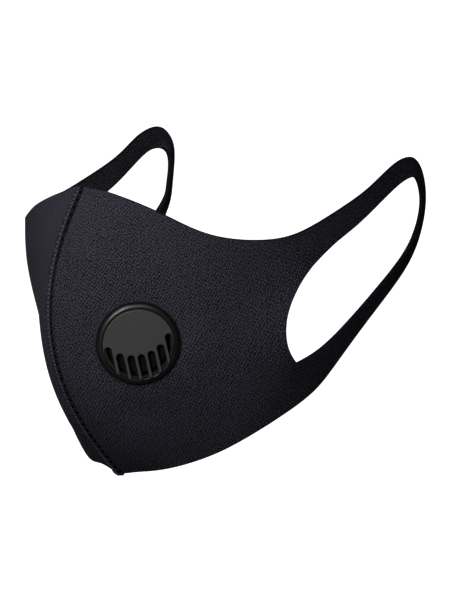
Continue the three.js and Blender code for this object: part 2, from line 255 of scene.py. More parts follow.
def panel_cage(face, opening, loop):
    """A panel's points and quads, with its sharp corner and the fold of its loop."""
    points, quads = [], []

    def put(p):
        points.append(Vector(p))
        return len(points) - 1

    grid = [[put(p) for p in bowed(*row)] for row in face.values()]
    grid.append([put(p) for p in opening.values()])
    for left, right in zip(grid, grid[1:]):
        for j in range(len(ROWS) - 1):
            quads.append((left[j], left[j + 1], right[j + 1], right[j]))
    top, high, _, _, low, bottom = grid[-1]
    centres = [(points[top] + points[high]) / 2]
    centres += [Vector(row[0]) for row in loop.values()]
    centres.append((points[bottom] + points[low]) / 2)
    ribbon = [(top, high)]
    for i, (_, width, facing, tilt) in enumerate(loop.values(), start=1):
        along = (centres[i + 1] - centres[i - 1]).normalized()
        across = direction(facing, tilt).cross(along).normalized() * (width / 2)
        ribbon.append((put(centres[i] + across), put(centres[i] - across)))
    ribbon.append((bottom, low))
    for (a, b), (c, d) in zip(ribbon, ribbon[1:]):
        quads.append((a, b, d, c))
    fold = ribbon[1 + list(loop).index("tip")]
    return np.array(points), quads, low, fold


left_cage = panel_cage(FACE, OPENING_FRONT, LOOP)
right_cage = panel_cage({**FACE, **RIGHT_FACE}, {**OPENING_FRONT, **RIGHT_OPENING},
                        {**LOOP, **RIGHT_LOOP})
print("cage:", len(left_cage[0]), "points,", len(left_cage[1]), "quads")

# %% [markdown]
# A subdivided surface shrinks away from its cage. To make it pass through the tables' own
# points, the cage is moved out by what is missing, a few times over. The opening's lower
# corner is cut sharp on the real mask, so that one vertex is creased. So, lightly, is the
# edge across the loop's tip, where the ear bends the ribbon over.

# %% Smooth the cage
LOOP_FOLD, FIT_ROUNDS, SMOOTH_LEVELS = 0.2, 8, 4


def smooth_surface(cage, name):
    wanted, quads, corner, fold = cage
    mesh = bpy.data.meshes.new(name)
    mesh.from_pydata(wanted.tolist(), [], quads)
    crease = mesh.attributes.new("crease_vert", "FLOAT", "POINT")
    crease.data[corner].value = 1.0
    crease = mesh.attributes.new("crease_edge", "FLOAT", "EDGE")
    for edge in mesh.edges:
        if set(edge.vertices) == set(fold):
            crease.data[edge.index].value = LOOP_FOLD
    obj = new_object(name, mesh)
    subdivision = obj.modifiers.new("smooth", "SUBSURF")
    subdivision.boundary_smooth = "PRESERVE_CORNERS"
    subdivision.levels = subdivision.render_levels = 1
    moved = wanted.copy()
    for _ in range(FIT_ROUNDS):
        graph = bpy.context.evaluated_depsgraph_get()
        smooth = obj.evaluated_get(graph).data
        now = np.empty(len(smooth.vertices) * 3)
        smooth.vertices.foreach_get("co", now)
        moved += wanted - now.reshape(-1, 3)[:len(wanted)]
        mesh.vertices.foreach_set("co", moved.ravel())
        mesh.update()
    subdivision.levels = subdivision.render_levels = SMOOTH_LEVELS
    return plain_mesh(obj, name)


surface_left = smooth_surface(left_cage, "left_surface")
surface_right = smooth_surface(right_cage, "right_surface")
print("smooth surface:", len(surface_left.data.polygons), "quads")

# %% [markdown]
# The knit runs straight across the flat sheet that the panel was cut from. So the smooth
# surface is unwrapped, as if it were laid flat again, and the flat pattern is kept as a
# UV map in real metres. It also gives the size of the cut piece.

# %% Lay each panel flat
def lay_flat(obj):
    """Unwraps an object. Gives its points, their places on the flat and its quads."""
    bpy.ops.object.select_all(action="DESELECT")
    bpy.context.view_layer.objects.active = obj
    obj.select_set(True)
    obj.data.uv_layers.new(name="flat_cut")
    bpy.ops.object.mode_set(mode="EDIT")
    bpy.ops.mesh.select_all(action="SELECT")
    bpy.ops.uv.unwrap(method="ANGLE_BASED", margin=0)
    bpy.ops.object.mode_set(mode="OBJECT")
    mesh = obj.data
    points, corners = np.empty(len(mesh.vertices) * 3), np.empty(len(mesh.loops), int)
    uv = np.empty(len(mesh.loops) * 2)
    mesh.vertices.foreach_get("co", points)
    mesh.loops.foreach_get("vertex_index", corners)
    mesh.uv_layers["flat_cut"].data.foreach_get("uv", uv)
    points, flat = points.reshape(-1, 3), np.zeros((len(mesh.vertices), 2))
    flat[corners] = uv.reshape(-1, 2)
    quads = corners.reshape(-1, 4)
    return points, flat, quads


def area(points, quads):
    """The quads' area, from places in space or on the flat."""
    if points.shape[1] == 2:
        points = np.column_stack([points, np.zeros(len(points))])
    a, b, c, d = (points[quads[:, i]] for i in range(4))
    return np.linalg.norm(np.cross(c - a, d - b), axis=1).sum() / 2


def true_scale(points, flat, quads):
    """The flat pattern in millimetres, turned so that the seam's edge stands upright."""
    flat = flat * math.sqrt(area(points, quads) / area(flat, quads))
    ends = flat[0], flat[len(ROWS) - 1]
    down = (ends[1] - ends[0]) / np.linalg.norm(ends[1] - ends[0])
    turn = np.array([[-down[1], down[0]], [-down[0], -down[1]]])
    flat = (flat - ends[0]) @ turn.T
    return flat if flat[:, 0].mean() > 0 else flat * (-1, 1)


panels, cut_sizes = {}, {}
for side, surface in (("left", surface_left), ("right", surface_right)):
    points, flat, quads = lay_flat(surface)
    flat = true_scale(points, flat, quads)
    panels[side] = points, flat, quads
    size = flat.max(axis=0) - flat.min(axis=0)
    cut_sizes[side] = size * MM, area(points, quads) * MM ** 2
    print(side, "panel cut from", size.round(1), "mm, area", round(area(points, quads)), "mm2")
    bpy.data.objects.remove(surface)

# %% [markdown]
# Two things change the smooth surface. Beside the seam the cloth gives way to the seam's
# own width and rolls inwards a little, and under the valve it is pressed flat between the
# valve's two halves. There it also gets the round hole that the valve's barrel goes through.

# %% Fit the panels to the seam and the valve
SEAM_ROOM, NOSE_X, TOUCHING = 1.6, 12.0, 0.001
VALVE_CENTRE, VALVE_AXIS = Vector((27.3, 3.5, -62.6)), direction(45, -5)
FLAT_RADIUS, BLEND_RADIUS, HOLE_RADIUS = 18.0, 31.0, 13.1


def make_room_for_seam(points):
    """Squeezes the cloth between the seam and the nose section out to the seam's side."""
    near = points[:, 0] < NOSE_X
    points[near, 0] = SEAM_ROOM + points[near, 0] * (NOSE_X - SEAM_ROOM) / NOSE_X


def flatten_under_valve(points):
    """Presses the cloth onto the valve's plane, and blends that out to BLEND_RADIUS."""
    axis = np.array(VALVE_AXIS)
    offset = points - np.array(VALVE_CENTRE)
    height = offset @ axis
    distance = np.linalg.norm(offset - np.outer(height, axis), axis=1)
    t = np.clip((distance - FLAT_RADIUS) / (BLEND_RADIUS - FLAT_RADIUS), 0, 1)
    points -= np.outer(height * (1 - t * t * (3 - 2 * t)), axis)


def cut_hole(points, flat, quads):
    """Drops the quads inside the hole and draws its rim out to a true circle."""
    centre, axis = np.array(VALVE_CENTRE), np.array(VALVE_AXIS)
    offset = points - centre
    offset -= np.outer(offset @ axis, axis)
    distance = np.linalg.norm(offset, axis=1)
    inside = distance[quads].mean(axis=1) < HOLE_RADIUS
    inside &= np.linalg.norm(points[quads].mean(axis=1) - centre, axis=1) < 2 * HOLE_RADIUS
    rim = np.intersect1d(quads[inside], quads[~inside])
    points[rim] = centre + offset[rim] * (HOLE_RADIUS / distance[rim])[:, None]
    quads = quads[~inside]
    kept = np.unique(quads)
    number = np.zeros(len(points), int)
    number[kept] = np.arange(len(kept))
    return points[kept], flat[kept], number[quads]


on_seam = {}
for side, (points, flat, quads) in panels.items():
    on_seam[side] = points[:, 0] < TOUCHING
    make_room_for_seam(points)
    if side == "left":
        flatten_under_valve(points)
        before = len(quads)
        points, flat, quads = cut_hole(points, flat, quads)
        on_seam[side] = points[:, 0] < SEAM_ROOM + TOUCHING
        print("the valve's hole took", before - len(quads), "quads")
    panels[side] = points, flat, quads

# %% [markdown]
# A cut edge of foam laminate is not a knife edge: its two knit faces are drawn together a
# little over the foam. So the surface becomes a wall with a knit face on each side and a
# rim of five narrow rows between them, which bulges by about a third of a millimetre.

# %% Give the cloth its thickness
RIM_STEPS, RIM_BULGE, SEAM_ROLL, ROLL_WIDTH = 5, 0.35, 0.45, 2.2


def unit(rows):
    return rows / np.maximum(np.linalg.norm(rows, axis=1), 1e-9)[:, None]


def surface_normals(points, quads):
    a, b, c, d = (points[quads[:, i]] for i in range(4))
    faces = np.cross(c - a, d - b)
    normals = np.zeros_like(points)
    for i in range(4):
        np.add.at(normals, quads[:, i], faces)
    return unit(normals)


def open_edges(quads):
    """The surface's border, as pairs of points with the surface on their left."""
    pairs = np.concatenate([quads[:, [i, (i + 1) % 4]] for i in range(4)])
    known = {tuple(pair) for pair in pairs.tolist()}
    return np.array([(a, b) for a, b in known if (b, a) not in known])


def cloth_wall(points, flat, quads, seam):
    """The wall's points and faces, their places on the flat, and which faces are rim."""
    normals = surface_normals(points, quads)
    points = points.copy()
    roll = np.clip(1 - (points[:, 0] - SEAM_ROOM) / ROLL_WIDTH, 0, 1) ** 2
    points -= normals * (SEAM_ROLL * roll)[:, None]
    edges = open_edges(quads)
    edges = edges[np.lexsort((edges[:, 1], edges[:, 0]))]
    outward = np.zeros_like(points)
    across = unit(np.cross(unit(points[edges[:, 1]] - points[edges[:, 0]]), normals[edges[:, 0]]))
    for i in range(2):
        np.add.at(outward, edges[:, i], across)
    outward = unit(outward)
    outward[seam] = 0
    points -= outward * RIM_BULGE
    half = normals * (CLOTH / 2)
    # along the seam the edge is cut across x, at the cloth's full thickness
    square = half[seam] * (0, 1, 1)
    half[seam] = square * (CLOTH / 2) ** 2 / (square ** 2).sum(axis=1)[:, None]

    count, rim = len(points), np.unique(edges)
    place = np.zeros(count, int)
    place[rim] = np.arange(len(rim))
    layers = [points + half, points - half]
    rows = [np.arange(count)[rim]]
    for k in range(1, RIM_STEPS):
        angle = math.pi * k / RIM_STEPS
        layers.append(points[rim] + half[rim] * math.cos(angle)
                      + outward[rim] * RIM_BULGE * math.sin(angle))
        rows.append(2 * count + (k - 1) * len(rim) + np.arange(len(rim)))
    rows.append(count + rim)
    faces = [quads, quads[:, ::-1] + count]
    start, end = place[edges[:, 0]], place[edges[:, 1]]
    for upper, lower in zip(rows, rows[1:]):
        faces.append(np.column_stack([upper[end], upper[start], lower[start], lower[end]]))
    uv = np.concatenate([flat, flat] + [flat[rim]] * (RIM_STEPS - 1))
    cut = np.repeat([0, 1], [2 * len(quads), RIM_STEPS * len(edges)])
    return np.concatenate(layers), np.concatenate(faces), uv, cut


def cloth_object(name, side):
    points, faces, uv, cut = cloth_wall(*panels[side], on_seam[side])
    if side == "right":
        points, faces = points * (-1, 1, 1), faces[:, ::-1]
    obj = mesh_object(name, (points * MM).tolist(), faces.tolist())
    mesh = obj.data
    mesh.polygons.foreach_set("material_index", cut)
    layer = mesh.uv_layers.new(name="flat_cut")
    corners = np.empty(len(mesh.loops), int)
    mesh.loops.foreach_get("vertex_index", corners)
    layer.data.foreach_set("uv", (uv[corners] * MM).ravel())
    mesh.validate()
    return obj


left_panel_cloth = cloth_object("left_panel_cloth", "left")
right_panel_cloth = cloth_object("right_panel_cloth", "right")
for obj in (left_panel_cloth, right_panel_cloth):
    print(obj.name, len(obj.data.polygons), "faces")

# %% [markdown]
# ## The centre seam
#
# The two panels meet edge to edge and are joined by a flat overlock. From outside that
# shows as a rounded cord of thread down the middle of the face, which ends in a short tab
# under the chin. The cord is swept along the seam's curve. The stitches over it repeat
# every 1.75 mm, so Geometry Nodes put one on each point of the same curve.

# %% The seam's curve
SEAM_TAB, SEAM_STEPS = 1.6, 180


def seam_curve(count):
    """Places along the seam from the chin up to the nose, and the way out of the cloth."""
    top, bottom, bulge, _, skew = FACE["seam"]
    start, chord = Vector(top), Vector(bottom) - Vector(top)
    out = Vector((0, chord.z, -chord.y)).normalized()
    longest = 1 + SEAM_TAB / chord.length
    places = []
    for i in range(count + 1):
        t = longest * (1 - i / count)
        places.append(start + chord * t + out * bow(t, bulge, skew))
    ways = []
    for i, place in enumerate(places):
        along = (places[min(i + 1, count)] - places[max(i - 1, 0)]).normalized()
        ways.append(Vector((0, -along.z, along.y)))
    return places, ways


places, ways = seam_curve(SEAM_STEPS)
seam_length = sum((b - a).length for a, b in zip(places, places[1:]))
print("the seam is", round(seam_length, 1), "mm long")

# %% The cord of the seam
CORD_WIDTH, CORD_SHOULDER, CORD_TOP, CORD_ARC = 2.3, 0.4, 1.05, 12
BLUNT_PLACES, BLUNT_BY = 2.5, 0.75
CHIN_PLACES, CHIN_SWELL = 18, 0.4


def sweep(name, section, places, ways, size):
    """Carries a section of (across, out) points along the places, and closes both ends."""
    points, faces, row, last = [], [], len(section), len(places) - 1
    for i, (place, way) in enumerate(zip(places, ways)):
        scale = size(i, last)
        for across, out in section:
            points.append((place + way * (out * scale) + Vector((across * scale, 0, 0))) * MM)
    for i in range(last):
        for j in range(row):
            a, b = i * row + j, i * row + (j + 1) % row
            faces.append((a, b, b + row, a + row))
    faces.append([row - 1 - j for j in range(row)])
    faces.append([last * row + j for j in range(row)])
    return mesh_object(name, points, faces)


section = [(-CORD_WIDTH / 2, -CLOTH / 2), (CORD_WIDTH / 2, -CLOTH / 2)]
for k in range(CORD_ARC + 1):
    angle = math.pi * k / CORD_ARC
    section.append((CORD_WIDTH / 2 * math.cos(angle),
                    CORD_SHOULDER + (CORD_TOP - CORD_SHOULDER) * math.sin(angle)))


def cord_size(i, last):
    """Blunt at both ends, and thicker towards the chin, where i is 0."""
    end = max(0.0, 1 - min(i, last - i) / BLUNT_PLACES)
    chin = max(0.0, 1 - i / CHIN_PLACES)
    return (1 - end ** 2 * BLUNT_BY) * (1 + CHIN_SWELL * chin)


seam_cord = sweep("seam_cord", section, places, ways, cord_size)
print(seam_cord.name, len(seam_cord.data.polygons), "faces")

# %% [markdown]
# One stitch is a short thread that starts in one panel's edge, climbs over the cord and
# dives into the other panel. The tree below resamples the curve at the stitch spacing,
# bends one thread, puts it on every point with a slight alternating slant, and lays the
# links of a chain stitch along the crest between them. At the chin, where the cord is
# thicker, the first few stitches are larger too.

# %% The stitches' tree
STITCH, STITCH_FOOT = 1.75, 0.45
CHIN_STITCHES, CHIN_SIZE = 8.0, 1.35
LINK_WIDTH, LINK_THREAD = 0.42, 0.2
LINK_LENGTH, LINK_TIP = 0.62, 9    # a share of the spacing, and degrees


def socket(tree, name, kind, default=None, out=False):
    item = tree.interface.new_socket(name, in_out="OUTPUT" if out else "INPUT", socket_type=kind)
    if default is not None:
        item.default_value = default
    return item.identifier


def stitches_tree():
    tree = bpy.data.node_groups.new("overlock_stitches", "GeometryNodeTree")
    inputs = {
        "Seam": socket(tree, "Seam", "NodeSocketGeometry"),
        "Spacing": socket(tree, "Spacing", "NodeSocketFloat", STITCH * MM),
        "Thread": socket(tree, "Thread", "NodeSocketFloat", 0.36 * MM),
        "Reach": socket(tree, "Reach", "NodeSocketFloat", 1.95 * MM),
        "Crest": socket(tree, "Crest", "NodeSocketFloat", 1.45 * MM),
        "Slant": socket(tree, "Slant", "NodeSocketFloat", math.radians(14)),
        "Rungs": socket(tree, "Rungs", "NodeSocketMaterial"),
        "Chain": socket(tree, "Chain", "NodeSocketMaterial"),
    }
    socket(tree, "Stitches", "NodeSocketGeometry", out=True)
    given = add(tree, "NodeGroupInput").outputs
    calc = math_in(tree)

    line = add(tree, "GeometryNodeMeshToCurve", {"Mesh": given["Seam"]})
    points = add(tree, "GeometryNodeResampleCurve", {"Curve": line, "Length": given["Spacing"]},
                 mode="LENGTH")
    tangent = add(tree, "GeometryNodeInputTangent")
    facing = add(tree, "FunctionNodeAxesToRotation",
                 {0: (1, 0, 0), 1: tangent}, primary_axis="X", secondary_axis="Y")
    index = add(tree, "GeometryNodeInputIndex")
    side = calc("MULTIPLY_ADD", calc("MODULO", index, 2.0), 2.0, -1.0)
    turn = add(tree, "ShaderNodeCombineXYZ", {"Z": calc("MULTIPLY", side, given["Slant"])})
    slanted = add(tree, "FunctionNodeRotateRotation",
                  {0: facing, 1: turn}, rotation_space="LOCAL")

    grow = add(tree, "ShaderNodeMapRange",
               {"Value": index, "From Min": 0.0, "From Max": CHIN_STITCHES,
                "To Min": CHIN_SIZE, "To Max": 1.0})

    back = calc("MULTIPLY", given["Reach"], -1.0)
    start = add(tree, "ShaderNodeCombineXYZ", {"X": back, "Z": STITCH_FOOT * MM})
    end = add(tree, "ShaderNodeCombineXYZ", {"X": given["Reach"], "Z": STITCH_FOOT * MM})
    # a quadratic curve's top lies half way between its feet and its middle point
    rise = calc("MULTIPLY_ADD", given["Crest"], 1.9, -STITCH_FOOT * MM)
    crest = add(tree, "ShaderNodeCombineXYZ", {"Z": rise})
    arc = add(tree, "GeometryNodeCurveQuadraticBezier",
              {"Resolution": 10, "Start": start, "Middle": crest, "End": end})
    round_thread = add(tree, "GeometryNodeCurvePrimitiveCircle",
                       {"Resolution": 7, "Radius": given["Thread"]})
    rung = add(tree, "GeometryNodeCurveToMesh",
               {"Curve": arc, "Profile Curve": round_thread, "Fill Caps": True})
    rungs = add(tree, "GeometryNodeInstanceOnPoints",
                {"Points": points, "Instance": rung, "Rotation": slanted, "Scale": grow})

    oval = add(tree, "GeometryNodeCurvePrimitiveCircle", {"Resolution": 16, "Radius": 1.0})
    length = calc("MULTIPLY", given["Spacing"], LINK_LENGTH)
    stretch = add(tree, "ShaderNodeCombineXYZ", {"X": LINK_WIDTH * MM, "Y": length, "Z": 1.0})
    lift = add(tree, "ShaderNodeCombineXYZ", {"Z": given["Crest"]})
    link = add(tree, "GeometryNodeTransform",
               {"Geometry": oval, "Scale": stretch, "Translation": lift,
                "Rotation": (math.radians(LINK_TIP), 0, 0)})
    fine_thread = add(tree, "GeometryNodeCurvePrimitiveCircle",
                      {"Resolution": 6, "Radius": LINK_THREAD * MM})
    loop = add(tree, "GeometryNodeCurveToMesh", {"Curve": link, "Profile Curve": fine_thread})
    chain = add(tree, "GeometryNodeInstanceOnPoints",
                {"Points": points, "Instance": loop, "Rotation": facing, "Scale": grow})

    both = add(tree, "GeometryNodeJoinGeometry")
    for part, name in ((rungs, "Rungs"), (chain, "Chain")):
        real = add(tree, "GeometryNodeRealizeInstances", {"Geometry": part})
        dyed = add(tree, "GeometryNodeSetMaterial", {"Geometry": real, "Material": given[name]})
        tree.links.new(dyed.outputs[0], both.inputs[0])
    soft = add(tree, "GeometryNodeSetShadeSmooth", {"Geometry": both})
    add(tree, "NodeGroupOutput", {0: soft})
    return tree, inputs


# %% Put the stitches on the seam
def with_tree(name, mesh, tree, values):
    """Runs a node tree on a mesh and returns the result as a plain mesh object."""
    obj = new_object(name, mesh)
    modifier = obj.modifiers.new(name, "NODES")
    modifier.node_group = tree
    for identifier, value in values.items():
        modifier[identifier] = value
    return plain_mesh(obj, name)


# the stitches stop a little short of the cord's blunt ends
seam_line = bpy.data.meshes.new("seam_line")
stitched = [place * MM for place in places[4:-2]]
seam_line.from_pydata(stitched, [(i, i + 1) for i in range(len(stitched) - 1)], [])
tree, inputs = stitches_tree()
seam_stitches = with_tree("seam_stitches", seam_line, tree, {
    inputs["Rungs"]: bpy.data.materials.new("polyester_looper_thread"),
    inputs["Chain"]: bpy.data.materials.new("polyester_needle_thread"),
})
print(seam_stitches.name, len(seam_stitches.data.polygons), "faces,",
      round(seam_length / STITCH), "stitches")

# %% [markdown]
# ## The valve
#
# The exhalation valve is two moulded halves of black plastic that clip together through
# the cloth. Outside there is a round ring and, in it, a raised disc with seven slots in
# its lower half. The hidden half has a flange, a barrel and a cross of bars, with a thin
# silicone flap over its mouth. Each is turned on a lathe: a profile of radius and height,
# with its corners rounded as a mould would leave them.

# %% Turn a profile
SEAT = CLOTH / 2 + 0.3
VALVE_TURN = 12.5


def valve_frame():
    """The valve's own axes: z out of the cloth, y up its slots."""
    side = Vector((0, 0, 1)).cross(VALVE_AXIS).normalized()
    up = VALVE_AXIS.cross(side)
    up.rotate(Matrix.Rotation(math.radians(VALVE_TURN), 3, VALVE_AXIS))
    axes = Matrix((up.cross(VALVE_AXIS), up, VALVE_AXIS)).transposed().to_4x4()
    return Matrix.Translation(VALVE_CENTRE * MM) @ axes @ Matrix.Scale(MM, 4)


def rounded(profile, radius, steps=5):
    """Rounds each inner corner of a profile of (radius, height) points."""
    result = [profile[0]]
    for before, corner, after in zip(profile, profile[1:], profile[2:]):
        b, c, a = Vector(before), Vector(corner), Vector(after)
        r = min(radius, (b - c).length * 0.45, (a - c).length * 0.45)
        start, end = c + (b - c).normalized() * r, c + (a - c).normalized() * r
        for k in range(steps + 1):
            t = k / steps
            result.append(tuple(start * (1 - t) ** 2 + c * (2 * t * (1 - t)) + end * t * t))
    return result + [profile[-1]]


def turned(name, profile, sides=144):
    """A solid of revolution about z. An open profile's ends become flat caps."""
    closed = profile[0] == profile[-1]
    rings = profile[:-1] if closed else profile
    bm = bmesh.new()
    loops = []
    for radius, height in rings:
        if radius < 1e-6:
            loops.append([bm.verts.new((0, 0, height))])
        else:
            loops.append([bm.verts.new((radius * math.cos(a), radius * math.sin(a), height))
                          for a in (2 * math.pi * k / sides for k in range(sides))])
    pairs = list(zip(loops, loops[1:])) + ([(loops[-1], loops[0])] if closed else [])
    if not closed:
        for loop in (loops[0][::-1], loops[-1]):
            if len(loop) > 2:
                bm.faces.new(loop)
    for low, high in pairs:
        for k in range(sides):
            n = (k + 1) % sides
            corners = [low[k % len(low)], low[n % len(low)], high[n % len(high)], high[k % len(high)]]
            corners = list(dict.fromkeys(corners))
            if len(corners) > 2:
                bm.faces.new(corners)
    bmesh.ops.recalc_face_normals(bm, faces=bm.faces)
    obj = bmesh_object(name, bm)
    obj.data.shade_smooth()
    return obj


# %% [markdown]
# The ring's section is a low wall with a flat top and rounded shoulders. Past a narrow
# groove it goes over into the disc's own wall, whose top reaches just into the plate.

# %% The ring and the disc's wall
RING, DISC, CAVITY, PLATE_TOP, PLATE = 17.5, 14.9, 13.5, SEAT + 4.8, 1.5
ring_profile = [(CAVITY, SEAT - 0.2), (RING - 0.5, SEAT - 0.2), (RING, SEAT + 0.25),
                (RING, SEAT + 1.5), (RING - 0.6, SEAT + 2.5), (RING - 1.4, SEAT + 3.1),
                (DISC + 0.35, SEAT + 3.2), (DISC + 0.15, SEAT + 3.0), (DISC + 0.1, SEAT + 2.2),
                (DISC - 0.05, SEAT + 2.2), (DISC - 0.05, PLATE_TOP - PLATE + 0.1),
                (CAVITY, PLATE_TOP - PLATE + 0.1)]
ring = turned("valve_ring", rounded(ring_profile, 0.3) + [ring_profile[0]])

# %% [markdown]
# The plate's slots are a repeat, so Geometry Nodes set out their cutters: a row of
# upright pins, a pitch apart, with round ends that lie on an arc. A Boolean takes them out
# of the plain plate. A second, shallow and flared set then takes off the sharp edges, which
# gives them the thin line of light that moulded plastic has.

# %% The slots' tree
SLOT_WIDTH, SLOT_DEPTH = 2.95, 6.0


def slots_tree():
    tree = bpy.data.node_groups.new("slot_cutters", "GeometryNodeTree")
    inputs = {
        "Plate": socket(tree, "Plate", "NodeSocketGeometry"),
        "Count": socket(tree, "Count", "NodeSocketInt", 7),
        "Pitch": socket(tree, "Pitch", "NodeSocketFloat", 4.3),
        "Width": socket(tree, "Width", "NodeSocketFloat", SLOT_WIDTH),
        "Arc radius": socket(tree, "Arc radius", "NodeSocketFloat", 16.7),
        "Lowest": socket(tree, "Lowest", "NodeSocketFloat", -4.2),
        "Length": socket(tree, "Length", "NodeSocketFloat", 22.0),
        "Depth": socket(tree, "Depth", "NodeSocketFloat", SLOT_DEPTH),
        "Flare": socket(tree, "Flare", "NodeSocketFloat", 0.0),
    }
    socket(tree, "Cutters", "NodeSocketGeometry", out=True)
    given = add(tree, "NodeGroupInput").outputs
    calc = math_in(tree)

    step = add(tree, "ShaderNodeCombineXYZ", {"X": given["Pitch"]})
    row = add(tree, "GeometryNodeMeshLine", {"Count": given["Count"], "Offset": step})
    last = calc("SUBTRACT", given["Count"], 1.0)
    index = add(tree, "GeometryNodeInputIndex")
    x = calc("MULTIPLY", calc("MULTIPLY_ADD", last, -0.5, index), given["Pitch"])
    fall = calc("SQRT", calc("SUBTRACT", calc("POWER", given["Arc radius"], 2.0),
                             calc("POWER", x, 2.0)))
    base = calc("ADD", given["Lowest"], given["Arc radius"])
    top = calc("SUBTRACT", base, fall)
    half = calc("MULTIPLY", given["Width"], 0.5)
    place = add(tree, "ShaderNodeCombineXYZ", {"X": x, "Y": calc("SUBTRACT", top, half)})
    tops = add(tree, "GeometryNodeSetPosition", {"Geometry": row, "Position": place})

    wide = calc("ADD", half, given["Flare"])
    pin = add(tree, "GeometryNodeMeshCone",
              {"Vertices": 40, "Radius Top": wide, "Radius Bottom": half, "Depth": given["Depth"]})
    where = add(tree, "ShaderNodeSeparateXYZ", {0: add(tree, "GeometryNodeInputPosition")})
    lower = add(tree, "FunctionNodeCompare", {"A": where.outputs[1], "B": -0.001},
                data_type="FLOAT", operation="LESS_THAN")
    down = add(tree, "ShaderNodeCombineXYZ", {"Y": calc("MULTIPLY", given["Length"], -1.0)})
    cutter = add(tree, "GeometryNodeSetPosition",
                 {"Geometry": pin, "Selection": lower, "Offset": down})
    slots = add(tree, "GeometryNodeInstanceOnPoints", {"Points": tops, "Instance": cutter})
    real = add(tree, "GeometryNodeRealizeInstances", {"Geometry": slots})
    add(tree, "NodeGroupOutput", {0: real})
    return tree, inputs


# %% Cut the plate
EDGE, FLARE = 0.25, 0.32
disc_edge = [(DISC, PLATE_TOP - PLATE), (DISC, PLATE_TOP - EDGE),
             (DISC - EDGE * 0.3, PLATE_TOP - EDGE * 0.3), (DISC - EDGE, PLATE_TOP)]
plate = turned("valve_plate", disc_edge)
tree, inputs = slots_tree()
through = SLOT_DEPTH, 0.0, PLATE_TOP - SLOT_DEPTH / 2
chamfer = FLARE, FLARE, PLATE_TOP - EDGE - 0.02
for depth, flare, foot in (through, chamfer):
    # the flared pins start a hair narrower than the slots, so no two walls share a plane
    cutters = with_tree("slot_cutters", bpy.data.meshes.new("slot_cutters"), tree, {
        inputs["Depth"]: depth, inputs["Flare"]: flare, inputs["Width"]: SLOT_WIDTH - flare / 8})
    for vertex in cutters.data.vertices:
        vertex.co.z += foot
    cut = plate.modifiers.new("slots", "BOOLEAN")
    cut.operation, cut.solver, cut.object = "DIFFERENCE", "EXACT", cutters
    plate = plain_mesh(plate, "valve_plate")
    bpy.data.objects.remove(cutters)
print("slotted plate:", len(plate.data.polygons), "faces")

# %% [markdown]
# The hidden half is plain: a flange against the inside of the cloth, a barrel through it
# and two crossed bars that keep fingers off the flap.

# %% The valve's hidden half and its flap
BARREL, FLANGE, THICK = 12.8, 16.5, 1.4
back, rim = -SEAT - THICK, SEAT + 0.3
base_profile = rounded([(BARREL - THICK, back), (FLANGE, back), (FLANGE, -SEAT), (BARREL, -SEAT),
                        (BARREL, rim), (BARREL - THICK, rim)], 0.3)
base = turned("valve_base_ring", base_profile + [base_profile[0]])


def crossed_bars(length, width, thick, middle):
    """Two bars with rounded edges. One is a hair thinner, so their faces don't coincide."""
    bm = bmesh.new()
    for size in ((length, width, thick), (width, length, thick * 0.98)):
        bar = bmesh.ops.create_cube(bm, size=1)["verts"]
        bmesh.ops.scale(bm, vec=size, verts=bar)
        bmesh.ops.translate(bm, vec=(0, 0, middle), verts=bar)
    bmesh.ops.bevel(bm, geom=bm.edges[:], offset=0.2, segments=2, affect="EDGES", profile=0.5)
    return bmesh_object("valve_bars", bm)


bars = crossed_bars(2 * (BARREL - THICK) + 0.6, 2 * THICK, THICK, back + THICK / 2)

bottom = SEAT + 0.6
flap_profile = [(0, bottom), (BARREL - 0.3, bottom), (BARREL, bottom + 0.3),
                (BARREL - 0.3, bottom + 0.55), (4.5, bottom + 0.7), (2.2, bottom + 0.8),
                (0, bottom + 0.8)]
valve_membrane = turned("valve_membrane", rounded(flap_profile, 0.3))

# %% Put the valve's pieces in their place
def join(name, objects, finishes=False):
    """Joins objects into one mesh. With finishes, each keeps a material slot of its own."""
    bm = bmesh.new()
    for slot, obj in enumerate(objects):
        before = len(bm.faces)
        bm.from_mesh(obj.data)
        bm.faces.ensure_lookup_table()
        for face in bm.faces[before:]:
            face.material_index = slot if finishes else 0
        bpy.data.objects.remove(obj)
    return bmesh_object(name, bm)


valve_cover = join("valve_cover", [ring, plate], finishes=True)
valve_back = join("valve_back", [base, bars])
for obj in (valve_cover, valve_back, valve_membrane):
    obj.data.transform(valve_frame())
    obj.data.shade_smooth()
    obj.data.set_sharp_from_angle(angle=math.radians(50))
    # flat faces across the valve's axis stay flat, so no shading runs over their edges
    for face in obj.data.polygons:
        face.use_smooth = obj is valve_membrane or abs(face.normal.dot(VALVE_AXIS)) < 0.99
    print(obj.name, len(obj.data.polygons), "faces")

# %% [markdown]
# ## Materials
#
# **Knit-faced foam.** The cloth is a thin closed-cell foam with a fine polyester jersey
# bonded to both faces. From near by, the jersey's loops line up into slanting rows. They
# lie about 1.2 mm apart on the face, and pull straight and closer together along the
# stretched ear loop. The rows are drawn on the flat pattern, so they follow the cut.

# %% The knit
KNIT_DARK, KNIT_LIGHT = "#010101", "#484753"
FACE_LEAN, FACE_BEND, FACE_PERIOD = -1.22, -0.00275, 1.6
CROSS_LEAN, CROSS_PERIOD = 1.3, 2.4
LOOP_LEAN, LOOP_PERIOD, LOOP_BEGINS, LOOP_IN_FULL = -0.2, 0.76, 98.0, 118.0
ROWS_HIGH, CROSS_HIGH, FUZZ_HIGH = 0.36, 0.16, 1.5
SWAY, FUZZ, PATCHES, TONE_GAIN, TONE_BASE = 1.6, 5.0, 0.3, 0.95, 0.29


def blank_material(name):
    """A material with an empty tree: a new one, or the one that has that name."""
    material = bpy.data.materials.get(name) or bpy.data.materials.new(name)
    material.use_nodes = True
    material.node_tree.nodes.clear()
    return material, material.node_tree


